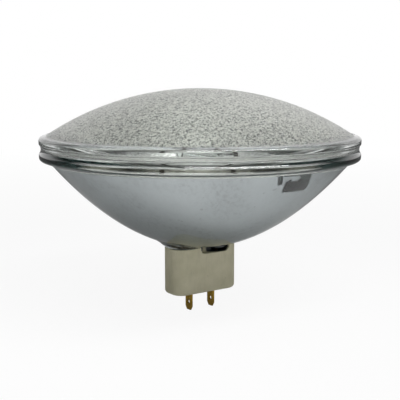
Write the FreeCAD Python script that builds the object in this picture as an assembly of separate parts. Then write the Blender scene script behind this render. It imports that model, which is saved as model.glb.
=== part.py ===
import FreeCAD, Part
import math
import os
from FreeCAD import Vector

# Sealed-beam spotlight lamp: a pressed glass lens and a pressed glass reflector joined at the rim, a
# halogen burner held across the beam by two posts, and a ceramic base with two contact blades. Millimetres.
# +Z is the beam's axis, from the base to the lens. The origin is the centre of the rim, in the seam between
# the two pressings. X runs along the base, through both ferrules and both blades. Each side piece has a
# left one at minus X and a right one at plus X.

# Rim: one rounded ridge on each pressing, with the seam in the waist between them
rim_radius = 101.6
waist_inset = 1.2
waist_half_height = 0.3
groove_edge_inset = 0.85
groove_edge_height = 2.3
ridge_foot_height = 2.9
ridge_foot_round = 1.2
flange_width = 9.3
flange_draft = 0.7

# Lens: a shallow spherical dome of even thickness inside a narrow sloping shoulder
lens_apex_height = 37.1
lens_wall = 3.8
lens_ridge_height = 4.3
lens_rim_round = 2.4
lens_shoulder_width = 4.6
lens_shoulder_rise = 0.8

# Reflector: a paraboloid outside and one inside, with a flat heel and a glass boss round each ferrule
bowl_pole_depth = 64.3
bowl_wall = 3.6
bowl_ridge_height = 3.6
bowl_rim_round = 2.0
bowl_shoulder_width = 6.8
bowl_shoulder_drop = 2.3
throat_depth = 7.0
heel_cut = 0.4
boss_foot_radius = 11.2
boss_height = 5.6
boss_flare = 6.9
seal_hole_radius = 5.5

# Mirror coating: the aluminium layer on the inside of the bowl, bare round the ferrules and at its brim
# where a clip of the coating jig covered the glass
coating_thickness = 0.2
coating_stand_off = 0.3
coating_brim_gap = 0.6
coating_hole_radius = 9.0
clear_patch_azimuth = -89.2
clear_patch_width = 19.0
clear_patch_length = 14.0
clear_patch_slant = 5.8
clear_patch_round = 1.6
clear_slit_width = 1.8
clear_slit_length = 7.2
clear_slit_gap = 0.9
clear_cutter_overrun = 2.0
clear_cutter_depth = 6.0

# Ferrules: metal cups sealed into the bosses
ferrule_spacing = 26.0
ferrule_radius = 8.0
ferrule_wall = 0.8
ferrule_depth = 5.1
ferrule_sunk = 2.0
ferrule_round = 1.6

# Burner: a quartz tube across the beam, pressed flat at both ends, above the reflector's focus as in a lamp
# for a wide beam
burner_rise = 14.6
burner_radius = 5.0
burner_wall = 1.0
burner_half_length = 15.5
burner_shoulder = 3.0
pinch_length = 8.5
pinch_width = 9.0
pinch_thickness = 3.2
pinch_round = 0.8
burner_tip_radius = 1.8
burner_tip_end_radius = 0.9
burner_tip_height = 3.0
burner_throat_radius = 1.5

# Filament and the conductors that carry it
filament_half_length = 12.75
filament_pitch = 1.5
filament_coil_radius = 1.35
filament_wire_radius = 0.3
spud_length = 3.2
seal_lead_radius = 0.5
foil_length = 5.4
foil_width = 3.0
foil_thickness = 0.1
foil_lap = 1.2
foil_start = 1.0

# Posts from the ferrules to the burner's ends
post_radius = 1.5
post_clearance_from_burner = 2.2
post_foot_height = 14.0
post_top_length = 8.0
post_head = 3.2
post_bend_radius = 8.0

# Ceramic base
base_length = 48.4
base_width = 20.4
base_height = 30.1
base_corner_radius = 7.6
base_foot_round = 2.4
base_top_round = 0.6
pocket_clearance = 0.8
pocket_depth = 4.2
recess_start = -6.3
recess_end = 16.2
recess_reach = 5.5
recess_round = 3.4
chamber_half_width = 5.2
chamber_inner_margin = 3.9
chamber_outer_margin = 4.6
chamber_floor_thickness = 8.0

# Contact blades, 16 mm between their inner faces
blade_spacing = 17.4
blade_thickness = 1.4
blade_width = 6.3
blade_projection = 12.2
blade_tip_chamfer_width = 1.3
blade_tip_chamfer_length = 2.0
blade_edge_chamfer = 0.25
blade_hole_radius = 1.45
blade_hole_from_tip = 5.4
blade_shoulder_width = 9.0
blade_shoulder_height = 4.0
blade_tail_width = 5.0
blade_tail_height = 5.0
blade_slot_clearance = 0.1

# Wires from the ferrules to the blades, and the cement that locks the blades in the base
link_radius = 1.0
link_lap = 3.0
link_end_run = 2.6
link_bend_radius = 2.4
cement_height = 5.2

# Places that follow from the sizes above
SIDES = (("left", -1), ("right", 1))
SAME = 1e-4
X = Vector(1, 0, 0)
Y = Vector(0, 1, 0)
Z = Vector(0, 0, 1)
ORIGIN = Vector(0, 0, 0)
waist_radius = rim_radius - waist_inset
groove_edge_radius = rim_radius - groove_edge_inset
flange_inner_radius = rim_radius - flange_width
flange_throat_radius = flange_inner_radius - flange_draft
lens_rim_edge = ridge_foot_height + lens_ridge_height
lens_shoulder_radius = rim_radius - lens_shoulder_width
lens_shoulder_height = lens_rim_edge + lens_shoulder_rise
lens_dome_rise = lens_apex_height - lens_shoulder_height
lens_outer_sphere = (lens_shoulder_radius ** 2 + lens_dome_rise ** 2) / (2 * lens_dome_rise)
lens_inner_sphere = lens_outer_sphere - lens_wall
sphere_centre_height = lens_apex_height - lens_outer_sphere
bowl_rim_edge = -ridge_foot_height - bowl_ridge_height
bowl_shoulder_radius = rim_radius - bowl_shoulder_width
bowl_shoulder_height = bowl_rim_edge - bowl_shoulder_drop
bowl_outer_focal_length = bowl_shoulder_radius ** 2 / (4 * (bowl_shoulder_height + bowl_pole_depth))
inner_pole_depth = bowl_pole_depth - bowl_wall
reflector_focal_length = flange_throat_radius ** 2 / (4 * (inner_pole_depth - throat_depth))
burner_height = reflector_focal_length - inner_pole_depth + burner_rise
heel_depth = bowl_pole_depth - heel_cut
coating_brim = flange_throat_radius - coating_brim_gap
ferrule_offset = ferrule_spacing / 2
ferrule_top = ferrule_sunk - heel_depth
ferrule_bottom = ferrule_top - ferrule_depth
burner_end = burner_half_length + burner_shoulder + pinch_length
post_offset = burner_end + post_clearance_from_burner
foil_inner_end = burner_half_length + burner_shoulder + foil_start
foil_outer_end = foil_inner_end + foil_length
base_top = -heel_depth
base_bottom = base_top - base_height
pocket_radius = ferrule_radius + pocket_clearance
pocket_floor = base_top - pocket_depth
chamber_inner = blade_spacing / 2 - chamber_inner_margin
chamber_outer = ferrule_offset + chamber_outer_margin
chamber_floor = base_bottom + chamber_floor_thickness
blade_offset = blade_spacing / 2
blade_tip = base_bottom - blade_projection
blade_shoulder_top = chamber_floor + blade_shoulder_height
blade_top = blade_shoulder_top + blade_tail_height


def at(radius, height):
    """Point of a profile: distance from the axis and height."""
    return Vector(radius, 0, height)


def line(start, end):
    return Part.LineSegment(start, end).toShape()


def polyline(points):
    return [line(a, b) for a, b in zip(points, points[1:])]


def arc(start, middle, end):
    return Part.Arc(start, middle, end).toShape()


def paraboloid_height(radius, focal_length, pole_depth):
    return radius * radius / (4 * focal_length) - pole_depth


def parabola(start_radius, end_radius, focal_length, pole_depth):
    """A stretch of parabola as the quadratic curve whose middle pole is where the end tangents meet."""
    start_height = paraboloid_height(start_radius, focal_length, pole_depth)
    end_height = paraboloid_height(end_radius, focal_length, pole_depth)
    half_span = (end_radius - start_radius) / 2
    tangent_height = start_height + start_radius / (2 * focal_length) * half_span
    curve = Part.BezierCurve()
    curve.setPoles([
        at(start_radius, start_height),
        at(start_radius + half_span, tangent_height),
        at(end_radius, end_height),
    ])
    return curve.toShape()


def sphere_height(radius, sphere_radius):
    return sphere_centre_height + math.sqrt(sphere_radius ** 2 - radius ** 2)


def dome_arc(start_radius, end_radius, sphere_radius):
    """Arc of a sphere about the lens's centre, between two distances from the axis."""
    middle = (start_radius + end_radius) / 2
    return arc(*(at(r, sphere_height(r, sphere_radius)) for r in (start_radius, middle, end_radius)))


def turned(edges):
    """Solid of revolution of a closed profile about the beam's axis."""
    return Part.Face(Part.Wire(edges)).revolve(ORIGIN, Z, 360)


def same(a, b):
    """True where two lengths are equal but for rounding."""
    return abs(a - b) < SAME


def circle_edges(solid, radius, height):
    """The solid's edges that are circles round the beam's axis, of one radius and height."""
    circles = [edge for edge in solid.Edges if not edge.Degenerated and isinstance(edge.Curve, Part.Circle)]
    return [
        edge for edge in circles
        if same(edge.Curve.Radius, radius) and same(edge.Curve.Center.z, height)
    ]


def edges_along(solid, direction):
    """The solid's straight edges along one direction."""
    return [
        edge for edge in solid.Edges
        if same(abs(edge.tangentAt(edge.FirstParameter).dot(direction)), 1)
    ]


def rounded_path(points, radius):
    """Straight runs joined by tangent arcs of one radius, through a list of corner points."""
    edges = []
    start = points[0]
    for before, corner, after in zip(points, points[1:], points[2:]):
        incoming = (before - corner).normalize()
        outgoing = (after - corner).normalize()
        half_angle = incoming.getAngle(outgoing) / 2
        setback = radius / math.tan(half_angle)
        bisector = (incoming + outgoing).normalize()
        centre = corner + bisector * (radius / math.sin(half_angle))
        arc_start = corner + incoming * setback
        arc_end = corner + outgoing * setback
        edges.append(line(start, arc_start))
        edges.append(arc(arc_start, centre - bisector * radius, arc_end))
        start = arc_end
    edges.append(line(start, points[-1]))
    return Part.Wire(edges)


def rod_along(points, rod_radius, bend_radius):
    """Round rod along a path that starts in the Z direction."""
    path = rounded_path(points, bend_radius)
    section = Part.Wire(Part.makeCircle(rod_radius, points[0], Z))
    return path.makePipeShell([section], True, False)


def rod_x(radius, start, end, height):
    """Round rod along X."""
    return Part.makeCylinder(radius, abs(end - start), Vector(min(start, end), 0, height), X)


def box(x_range, y_range, z_range):
    low = Vector(min(x_range), min(y_range), min(z_range))
    return Part.makeBox(
        abs(x_range[1] - x_range[0]), abs(y_range[1] - y_range[0]), abs(z_range[1] - z_range[0]), low
    )


def front_lens():
    """Dome with its shoulder and rim ridge, open below, where its flange meets the bowl's."""
    edges = [dome_arc(0, lens_shoulder_radius, lens_outer_sphere)]
    edges += polyline([
        at(lens_shoulder_radius, lens_shoulder_height),
        at(rim_radius, lens_rim_edge),
        at(rim_radius, ridge_foot_height),
        at(groove_edge_radius, groove_edge_height),
        at(waist_radius, waist_half_height),
        at(waist_radius, 0),
        at(flange_inner_radius, 0),
        at(flange_throat_radius, sphere_height(flange_throat_radius, lens_inner_sphere)),
    ])
    edges.append(dome_arc(flange_throat_radius, 0, lens_inner_sphere))
    edges.append(line(at(0, lens_apex_height - lens_wall), at(0, lens_apex_height)))
    lens = turned(edges)
    lens = lens.makeFillet(lens_rim_round, circle_edges(lens, rim_radius, lens_rim_edge))
    return lens.makeFillet(ridge_foot_round, circle_edges(lens, rim_radius, ridge_foot_height))


def ferrule(side):
    """Cup with a rounded foot, its open rim upward in the glass."""
    cup = Part.makeCylinder(ferrule_radius, ferrule_depth, at(0, ferrule_bottom))
    cup = cup.makeFillet(ferrule_round, circle_edges(cup, ferrule_radius, ferrule_bottom))
    bore_radius = ferrule_radius - ferrule_wall
    bore = Part.makeCylinder(bore_radius, ferrule_depth, at(0, ferrule_bottom + ferrule_wall))
    bore_round = ferrule_round - ferrule_wall
    bore = bore.makeFillet(bore_round, circle_edges(bore, bore_radius, ferrule_bottom + ferrule_wall))
    cup = cup.cut(bore)
    cup.translate(Vector(side * ferrule_offset, 0, 0))
    return cup


def reflector_bowl():
    """Bowl with its rim ridge and flat heel, a boss on the heel round each ferrule's hole and socket."""
    heel_radius = math.sqrt(4 * bowl_outer_focal_length * heel_cut)
    edges = polyline([
        at(0, 0),
        at(waist_radius, 0),
        at(waist_radius, -waist_half_height),
        at(groove_edge_radius, -groove_edge_height),
        at(rim_radius, -ridge_foot_height),
        at(rim_radius, bowl_rim_edge),
        at(bowl_shoulder_radius, bowl_shoulder_height),
    ])
    edges.append(parabola(bowl_shoulder_radius, heel_radius, bowl_outer_focal_length, bowl_pole_depth))
    edges += polyline([at(heel_radius, -heel_depth), at(0, -heel_depth), at(0, 0)])
    bowl = turned(edges)
    bowl = bowl.makeFillet(bowl_rim_round, circle_edges(bowl, rim_radius, bowl_rim_edge))
    bowl = bowl.makeFillet(ridge_foot_round, circle_edges(bowl, rim_radius, -ridge_foot_height))
    for _, side in SIDES:
        foot = Vector(side * ferrule_offset, 0, -heel_depth)
        bowl = bowl.fuse(Part.makeCone(boss_foot_radius, boss_foot_radius + boss_flare, boss_height, foot))
    cavity = polyline([
        at(0, -inner_pole_depth),
        at(0, 0),
        at(flange_inner_radius, 0),
        at(flange_throat_radius, -throat_depth),
    ])
    cavity.append(parabola(flange_throat_radius, 0, reflector_focal_length, inner_pole_depth))
    bowl = bowl.cut(turned(cavity))
    for _, side in SIDES:
        hole_foot = Vector(side * ferrule_offset, 0, -bowl_pole_depth)
        bowl = bowl.cut(Part.makeCylinder(seal_hole_radius, bowl_pole_depth, hole_foot))
        bowl = bowl.cut(ferrule(side))
    return bowl.removeSplitter()


def brim_cutter(width, length, slant, corner_radius, shift):
    """Slanted notch with round lower corners, extruded through the coating, open at the coating's brim."""
    half_width = width / 2
    overrun_slant = slant * clear_cutter_overrun / length
    outline = [
        Vector(shift - half_width - overrun_slant, clear_cutter_overrun, 0),
        Vector(shift - half_width + slant, -length, 0),
        Vector(shift + half_width + slant, -length, 0),
        Vector(shift + half_width - overrun_slant, clear_cutter_overrun, 0),
    ]
    prism = Part.Face(Part.makePolygon(outline + outline[:1])).extrude(Vector(0, 0, 2 * clear_cutter_depth))
    lower_edges = [edge for edge in edges_along(prism, Z) if same(edge.CenterOfMass.y, -length)]
    prism = prism.makeFillet(corner_radius, lower_edges)
    prism.translate(Vector(0, 0, -clear_cutter_depth))
    brim_height = paraboloid_height(coating_brim, reflector_focal_length, inner_pole_depth)
    slope = math.degrees(math.atan(coating_brim / (2 * reflector_focal_length)))
    # the notch's own X turns to run round the bowl, its own Y up the bowl's wall and its own Z outward
    prism.rotate(ORIGIN, X, 180 - slope)
    prism.rotate(ORIGIN, Z, 90)
    prism.translate(at(coating_brim, brim_height))
    prism.rotate(ORIGIN, Z, clear_patch_azimuth)
    return prism


def mirror_coating():
    """Thin shell of the reflector's paraboloid, bare round both holes and at the jig's clip."""
    back_depth = inner_pole_depth - coating_stand_off
    face_depth = back_depth - coating_thickness
    brim_back = paraboloid_height(coating_brim, reflector_focal_length, back_depth)
    edges = [
        parabola(0, coating_brim, reflector_focal_length, back_depth),
        line(at(coating_brim, brim_back), at(coating_brim, brim_back + coating_thickness)),
        parabola(coating_brim, 0, reflector_focal_length, face_depth),
        line(at(0, -face_depth), at(0, -back_depth)),
    ]
    coating = turned(edges)
    for _, side in SIDES:
        foot = Vector(side * ferrule_offset, 0, -bowl_pole_depth)
        coating = coating.cut(Part.makeCylinder(coating_hole_radius, bowl_pole_depth, foot))
    coating = coating.cut(
        brim_cutter(clear_patch_width, clear_patch_length, clear_patch_slant, clear_patch_round, 0))
    slit_slant = clear_patch_slant * clear_slit_length / clear_patch_length
    slit_shift = -(clear_patch_width + clear_slit_width) / 2 - clear_slit_gap
    slit_round = clear_slit_width / 3
    return coating.cut(brim_cutter(clear_slit_width, clear_slit_length, slit_slant, slit_round, slit_shift))


def lead_post(side):
    """Rod from the ferrule's floor, out to the burner's end and up past its axis."""
    foot_height = ferrule_bottom + ferrule_wall
    x_foot = side * ferrule_offset
    x_head = side * post_offset
    return rod_along(
        [
            Vector(x_foot, 0, foot_height),
            Vector(x_foot, 0, foot_height + post_foot_height),
            Vector(x_head, 0, burner_height - post_top_length),
            Vector(x_head, 0, burner_height + post_head),
        ],
        post_radius,
        post_bend_radius,
    )


def filament():
    """Single coil along X, centred on the burner."""
    helix = Part.makeHelix(filament_pitch, 2 * filament_half_length, filament_coil_radius)
    start = helix.Edges[0].firstVertex().Point
    section = Part.Wire(Part.makeCircle(filament_wire_radius, start, Y))
    coil = Part.Wire(helix.Edges).makePipeShell([section], True, True)
    coil.rotate(ORIGIN, Y, 90)
    coil.translate(Vector(-filament_half_length, 0, burner_height))
    return coil


def filament_lead(side):
    """Lead from the foil to the coil, with a thicker spud that fills the coil's last turns."""
    spud_radius = filament_coil_radius - filament_wire_radius
    spud_start = side * (filament_half_length - spud_length)
    spud_end = side * (filament_half_length + filament_pitch)
    foil_lap_end = side * (foil_inner_end + foil_lap)
    spud = rod_x(spud_radius, spud_start, spud_end, burner_height)
    return spud.fuse(rod_x(seal_lead_radius, spud_end, foil_lap_end, burner_height)).removeSplitter()


def sealing_foil(side):
    """Thin foil in the pinch, just under the two leads that are welded to it."""
    top = burner_height - seal_lead_radius
    return box(
        (side * foil_inner_end, side * foil_outer_end),
        (-foil_width / 2, foil_width / 2),
        (top - foil_thickness, top),
    )


def burner_pin(side):
    """Pin from the foil out of the pinch, its end shaped to the post that it is welded to."""
    pin = rod_x(seal_lead_radius, side * (foil_outer_end - foil_lap), side * post_offset, burner_height)
    return pin.cut(lead_post(side))


def pinch_slab(x_range):
    """Flat slab with round corners, along X at the burner's height."""
    half_width = pinch_width / 2
    half_thickness = pinch_thickness / 2
    z_range = (burner_height - half_thickness, burner_height + half_thickness)
    slab = box(x_range, (-half_width, half_width), z_range)
    return slab.makeFillet(pinch_round, edges_along(slab, X))


def burner_envelope():
    """Quartz tube with a sealed-off tip, necked to a flat pinch at each end, with its conductors' places."""
    tube = rod_x(burner_radius, -burner_half_length, burner_half_length, burner_height)
    for _, side in SIDES:
        neck_foot = Vector(side * burner_half_length, 0, burner_height)
        root = Part.Wire(Part.makeCircle(burner_radius, neck_foot, X))
        slab = pinch_slab((side * (burner_half_length + burner_shoulder), side * burner_end))
        flat = min(slab.Faces, key=lambda face: abs(face.CenterOfMass.x)).OuterWire
        tube = tube.fuse(Part.makeLoft([root, flat], True, False))
        tube = tube.fuse(slab)
    tip_foot = Vector(0, 0, burner_height - burner_radius - burner_tip_height)
    tip_length = burner_wall + burner_tip_height
    tube = tube.fuse(Part.makeCone(burner_tip_end_radius, burner_tip_radius, tip_length, tip_foot))
    bore_radius = burner_radius - burner_wall
    tube = tube.cut(rod_x(bore_radius, -burner_half_length, burner_half_length, burner_height))
    for _, side in SIDES:
        throat_foot = Vector(side * burner_half_length, 0, burner_height)
        tube = tube.cut(Part.makeCone(
            bore_radius, burner_throat_radius, burner_shoulder / 2, throat_foot, Vector(side, 0, 0)))
        for conductor in (filament_lead(side), sealing_foil(side), burner_pin(side)):
            tube = tube.cut(conductor)
    return tube


def link_wire(side):
    """Wire from the ferrule's foot down into the base, lapped on the outer face of the blade's tail."""
    x_top = side * ferrule_offset
    x_bottom = side * (blade_offset + blade_thickness / 2 + link_radius)
    return rod_along(
        [
            Vector(x_top, 0, ferrule_bottom),
            Vector(x_top, 0, ferrule_bottom - link_end_run),
            Vector(x_bottom, 0, blade_top + link_end_run),
            Vector(x_bottom, 0, blade_top - link_lap),
        ],
        link_radius,
        link_bend_radius,
    )


def contact_blade(side):
    """Flat blade with a chamfered, drilled tip outside and a shouldered tail inside the base."""
    tip_half = blade_width / 2 - blade_tip_chamfer_width
    half = [
        (tip_half, blade_tip),
        (blade_width / 2, blade_tip + blade_tip_chamfer_length),
        (blade_width / 2, chamber_floor),
        (blade_shoulder_width / 2, chamber_floor),
        (blade_shoulder_width / 2, blade_shoulder_top),
        (blade_tail_width / 2, blade_shoulder_top),
        (blade_tail_width / 2, blade_top),
    ]
    outline = [Vector(0, y, z) for y, z in half] + [Vector(0, -y, z) for y, z in reversed(half)]
    plate = Part.Face(Part.makePolygon(outline + outline[:1])).extrude(Vector(blade_thickness, 0, 0))
    tip_chamfer_top = blade_tip + blade_tip_chamfer_length
    tip_edges = [
        edge for edge in plate.Edges
        if edge.BoundBox.ZMax < tip_chamfer_top + SAME and edge.BoundBox.XLength < SAME
    ]
    plate = plate.makeChamfer(blade_edge_chamfer, tip_edges)
    hole_foot = Vector(0, 0, blade_tip + blade_hole_from_tip)
    plate = plate.cut(Part.makeCylinder(blade_hole_radius, blade_thickness, hole_foot, X))
    plate.translate(Vector(side * blade_offset - blade_thickness / 2, 0, 0))
    return plate


def chamber(side, top):
    """The space in the base where a blade's tail and its wire meet, up to a given height."""
    return box(
        (side * chamber_inner, side * chamber_outer),
        (-chamber_half_width, chamber_half_width),
        (chamber_floor, top),
    )


def side_recess(side):
    """Cut-out in a long face's top edge. The left one is the right one turned half round the axis."""
    face = -base_width / 2
    cutter = box(
        (recess_start, recess_end),
        (face - recess_reach, face + recess_reach),
        (pocket_floor, base_top + recess_round),
    )
    lower_edges = [edge for edge in edges_along(cutter, Y) if same(edge.CenterOfMass.z, pocket_floor)]
    cutter = cutter.makeFillet(recess_round, lower_edges)
    if side < 0:
        cutter.rotate(ORIGIN, Z, 180)
    return cutter


def ceramic_base():
    """Steatite block with a pocket for each ferrule, a recess in each long face and a slot for each blade."""
    half_length = base_length / 2
    half_width = base_width / 2
    block = box((-half_length, half_length), (-half_width, half_width), (base_bottom, base_top))
    block = block.makeFillet(base_corner_radius, edges_along(block, Z))
    foot_edges = [edge for edge in block.Edges if same(edge.BoundBox.ZMax, base_bottom)]
    block = block.makeFillet(base_foot_round, foot_edges)
    top_edges = [edge for edge in block.Edges if same(edge.BoundBox.ZMin, base_top)]
    block = block.makeFillet(base_top_round, top_edges)
    slot_half_thickness = blade_thickness / 2 + blade_slot_clearance
    slot_half_width = blade_width / 2 + blade_slot_clearance
    for _, side in SIDES:
        pocket_foot = Vector(side * ferrule_offset, 0, pocket_floor)
        block = block.cut(Part.makeCylinder(pocket_radius, pocket_depth, pocket_foot))
        block = block.cut(side_recess(side))
        block = block.cut(chamber(side, pocket_floor))
        x = side * blade_offset
        block = block.cut(box(
            (x - slot_half_thickness, x + slot_half_thickness),
            (-slot_half_width, slot_half_width),
            (base_bottom, chamber_floor),
        ))
    return block


def base_cement(side):
    """Cement cast round the blade's shoulders on the chamber's floor."""
    return chamber(side, chamber_floor + cement_height).cut(contact_blade(side))


def build():
    nodes = {
        "front_lens": front_lens(),
        "reflector_bowl": reflector_bowl(),
        "mirror_coating": mirror_coating(),
        "burner_envelope": burner_envelope(),
        "filament": filament(),
        "ceramic_base": ceramic_base(),
    }
    pairs = {
        "ferrule": ferrule,
        "lead_post": lead_post,
        "filament_lead": filament_lead,
        "sealing_foil": sealing_foil,
        "burner_pin": burner_pin,
        "contact_blade": contact_blade,
        "link_wire": link_wire,
        "base_cement": base_cement,
    }
    for name, make in pairs.items():
        for suffix, side in SIDES:
            nodes[f"{name}_{suffix}"] = make(side)
    return nodes


os.makedirs("parts", exist_ok=True)
for node, shape in build().items():
    shape.exportStep(f"parts/{node}.step")
    print(f"{node}: {len(shape.Solids)} solid, {shape.Volume:.1f} mm3, valid {shape.isValid()}")
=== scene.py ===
# %% [markdown]
# # A sealed-beam spotlight lamp
# The lamp is two thick glass pressings fused at the rim: a shallow domed lens with a stippled face, and a
# deep bowl whose inside carries a layer of aluminium. A halogen burner stands across the beam's axis on two
# posts, and a ceramic base with two brass blades is cemented under the bowl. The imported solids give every
# size and place. This lesson dresses them: it puts finely turned glass and coating in the place of three
# coarse solids, and gives each piece the finish of the real one.

# %% The frame: the solids as they were packed, and the box that they fill
import math

import bmesh
import bpy
import numpy as np
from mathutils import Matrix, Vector


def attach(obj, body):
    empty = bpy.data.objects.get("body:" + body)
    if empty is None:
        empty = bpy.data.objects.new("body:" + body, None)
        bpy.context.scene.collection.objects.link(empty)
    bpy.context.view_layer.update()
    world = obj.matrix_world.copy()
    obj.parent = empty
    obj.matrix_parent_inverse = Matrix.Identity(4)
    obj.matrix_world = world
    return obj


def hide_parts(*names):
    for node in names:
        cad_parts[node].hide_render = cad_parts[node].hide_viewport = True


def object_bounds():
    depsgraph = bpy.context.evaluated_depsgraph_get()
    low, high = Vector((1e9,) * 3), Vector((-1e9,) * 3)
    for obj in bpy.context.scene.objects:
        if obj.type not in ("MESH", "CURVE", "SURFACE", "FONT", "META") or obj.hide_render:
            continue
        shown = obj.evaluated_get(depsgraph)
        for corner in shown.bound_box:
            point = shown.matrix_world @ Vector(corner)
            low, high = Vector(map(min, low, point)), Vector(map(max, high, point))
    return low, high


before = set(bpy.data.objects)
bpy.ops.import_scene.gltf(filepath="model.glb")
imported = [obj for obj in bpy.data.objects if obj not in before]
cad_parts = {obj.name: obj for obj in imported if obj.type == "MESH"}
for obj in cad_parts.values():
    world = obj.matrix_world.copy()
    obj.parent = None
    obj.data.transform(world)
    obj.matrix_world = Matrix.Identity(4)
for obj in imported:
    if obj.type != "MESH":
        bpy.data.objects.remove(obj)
solid_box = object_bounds()
MM = 0.001
print("solids:", len(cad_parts))
print("box in mm:", [round(v / MM, 1) for v in (*solid_box[0], *solid_box[1])])

# %% [markdown]
# ## The profile of the glass
# Everything pressed or spun about the beam's axis is one profile turned round it. A profile could be drawn
# by hand as a curve, but the real one is known exactly: a sphere for the lens, a parabola for the bowl, and
# rounded corners between straight runs at the ridges. So the first helpers work out such stretches. Each
# stretch is an array of radius and height, and a whole profile is those arrays end to end.

# %% Sizes of the glass in millimetres, as the solids have them
rim_radius = 101.6
waist_radius = 100.4
waist_half_height = 0.3
groove_edge = (100.75, 2.3)
ridge_foot_height = 2.9
ridge_foot_round = 1.2
flange_inner_radius = 91.7
throat_radius = 91.6
throat_depth = 7.0
lens_apex_height = 37.1
lens_wall = 3.8
lens_rim_edge = 7.2
lens_rim_round = 2.4
lens_shoulder_radius = 97.0
lens_shoulder_height = 8.0
bowl_pole_depth = 64.3
bowl_wall = 3.6
bowl_rim_edge = -6.5
bowl_rim_round = 2.0
bowl_shoulder_radius = 94.8
bowl_shoulder_height = -8.8
heel_depth = 63.9
ferrule_offset = 13.0
print("rim across:", 2 * rim_radius, "glass from", -heel_depth, "to", lens_apex_height)

# %% The sphere and the parabolas that follow from those sizes
# A cap's sphere: half chord squared plus rise squared, over twice the rise. A parabola: radius squared over
# four times the height above its pole.
lens_dome_rise = lens_apex_height - lens_shoulder_height
lens_sphere = (lens_shoulder_radius ** 2 + lens_dome_rise ** 2) / (2 * lens_dome_rise)
sphere_centre_height = lens_apex_height - lens_sphere
bowl_focal_length = bowl_shoulder_radius ** 2 / (4 * (bowl_shoulder_height + bowl_pole_depth))
mirror_pole_depth = bowl_pole_depth - bowl_wall
mirror_focal_length = throat_radius ** 2 / (4 * (mirror_pole_depth - throat_depth))
print("lens sphere", round(lens_sphere, 2), "bowl focal length", round(bowl_focal_length, 2),
      "mirror focal length", round(mirror_focal_length, 2))


# %% Stretches of profile, each an array of radius and height
def straight(start, end, count):
    """Points evenly along the line from start to end, without the end: each is start and end weighted by its
    share of the way."""
    t = np.arange(count)[:, None] / count
    return np.array(start) * (1 - t) + np.array(end) * t


def rounded(before, corner, after, radius, count):
    """Arc of one radius that touches both lines at a corner. Its centre lies on the corner's bisector, the
    radius over the sine of half the angle away, and each point is the centre plus the radius in a
    direction swept evenly from one tangent point to the other."""
    before, corner, after = (np.array(p, float) for p in (before, corner, after))
    a = (before - corner) / np.linalg.norm(before - corner)
    b = (after - corner) / np.linalg.norm(after - corner)
    half = math.acos(np.clip(a @ b, -1, 1)) / 2
    bisector = (a + b) / np.linalg.norm(a + b)
    centre = corner + bisector * radius / math.sin(half)
    first, last = (corner + v * radius / math.tan(half) - centre for v in (a, b))
    start = math.atan2(first[1], first[0])
    sweep = (math.atan2(last[1], last[0]) - start + math.pi) % (2 * math.pi) - math.pi
    angle = start + sweep * np.linspace(0, 1, count)
    return centre + radius * np.column_stack([np.cos(angle), np.sin(angle)])


def sphere_profile(radii, sphere_radius):
    """Stretch of a sphere about the lens's centre: height is the centre's, plus the root of the sphere's
    radius squared less the radius squared."""
    return np.column_stack([radii, sphere_centre_height + np.sqrt(sphere_radius ** 2 - radii ** 2)])


def paraboloid_height(radii, focal_length, pole_depth):
    """Height of a paraboloid: radius squared over four focal lengths, less the depth of its pole."""
    return radii ** 2 / (4 * focal_length) - pole_depth


def bowl_profile(radii, focal_length, pole_depth):
    """Stretch of a paraboloid: each radius with its height."""
    return np.column_stack([radii, paraboloid_height(radii, focal_length, pole_depth)])


mirror_brim_height = paraboloid_height(throat_radius, mirror_focal_length, mirror_pole_depth)
print("the mirror's brim lies at", round(mirror_brim_height, 2), "mm")

# %% [markdown]
# ## From profile to mesh
# A turned surface is a grid of two parameters, place along the profile and angle round the axis. A Screw
# modifier would turn a profile too, but NumPy works out all the points at once and leaves them open to be
# moved afterwards, which the bowl's heel needs. The faces are index arrays in the same way. A profile that
# starts and ends on the axis closes itself with one point at each pole.

# %% Turned surfaces
SEGMENTS = 384


def mesh_object(name, points, faces, smooth=True):
    """Object with a mesh of the given points, in millimetres, and faces."""
    mesh = bpy.data.meshes.new(name)
    mesh.from_pydata((np.asarray(points) * MM).tolist(), [], [list(map(int, f)) for f in faces])
    mesh.polygons.foreach_set("use_smooth", np.full(len(mesh.polygons), smooth))
    mesh.update()
    piece = bpy.data.objects.new(name, mesh)
    bpy.context.scene.collection.objects.link(piece)
    return piece


def ring_faces(rings, segments):
    """Quads between neighbouring rings of points, ring by ring, closed round the axis. A point's number is
    its ring times the segments, plus its place in the ring."""
    j, i = np.meshgrid(np.arange(rings - 1), np.arange(segments), indexing="ij")
    k = (i + 1) % segments
    corners = [j * segments + i, (j + 1) * segments + i, (j + 1) * segments + k, j * segments + k]
    return np.stack(corners, axis=-1).reshape(-1, 4)


def turned(profile):
    """Points (radius times cosine, radius times sine, height) for every profile point and angle."""
    angle = np.arange(SEGMENTS) * 2 * math.pi / SEGMENTS
    r, z = profile[:, 0][:, None], profile[:, 1][:, None]
    return np.stack([r * np.cos(angle), r * np.sin(angle), z + 0 * angle], axis=-1).reshape(-1, 3)


def turned_solid(name, profile, shape=None):
    """Turned surface whose profile starts and ends on the axis: a fan of triangles closes each pole. The
    profile runs clockwise, seen with the radius to the right and the height upward. shape may move the
    points."""
    points = turned(profile[1:-1])
    rings = len(profile) - 2
    first_pole, last_pole = len(points), len(points) + 1
    i = np.arange(SEGMENTS)
    k = (i + 1) % SEGMENTS
    last = (rings - 1) * SEGMENTS
    first_fan = np.column_stack([np.full(SEGMENTS, first_pole), i, k])
    last_fan = np.column_stack([np.full(SEGMENTS, last_pole), last + k, last + i])
    points = np.vstack([points, [0, 0, profile[0, 1]], [0, 0, profile[-1, 1]]])
    if shape:
        points = shape(points)
    return mesh_object(name, points, [*ring_faces(rings, SEGMENTS), *first_fan, *last_fan])


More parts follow.
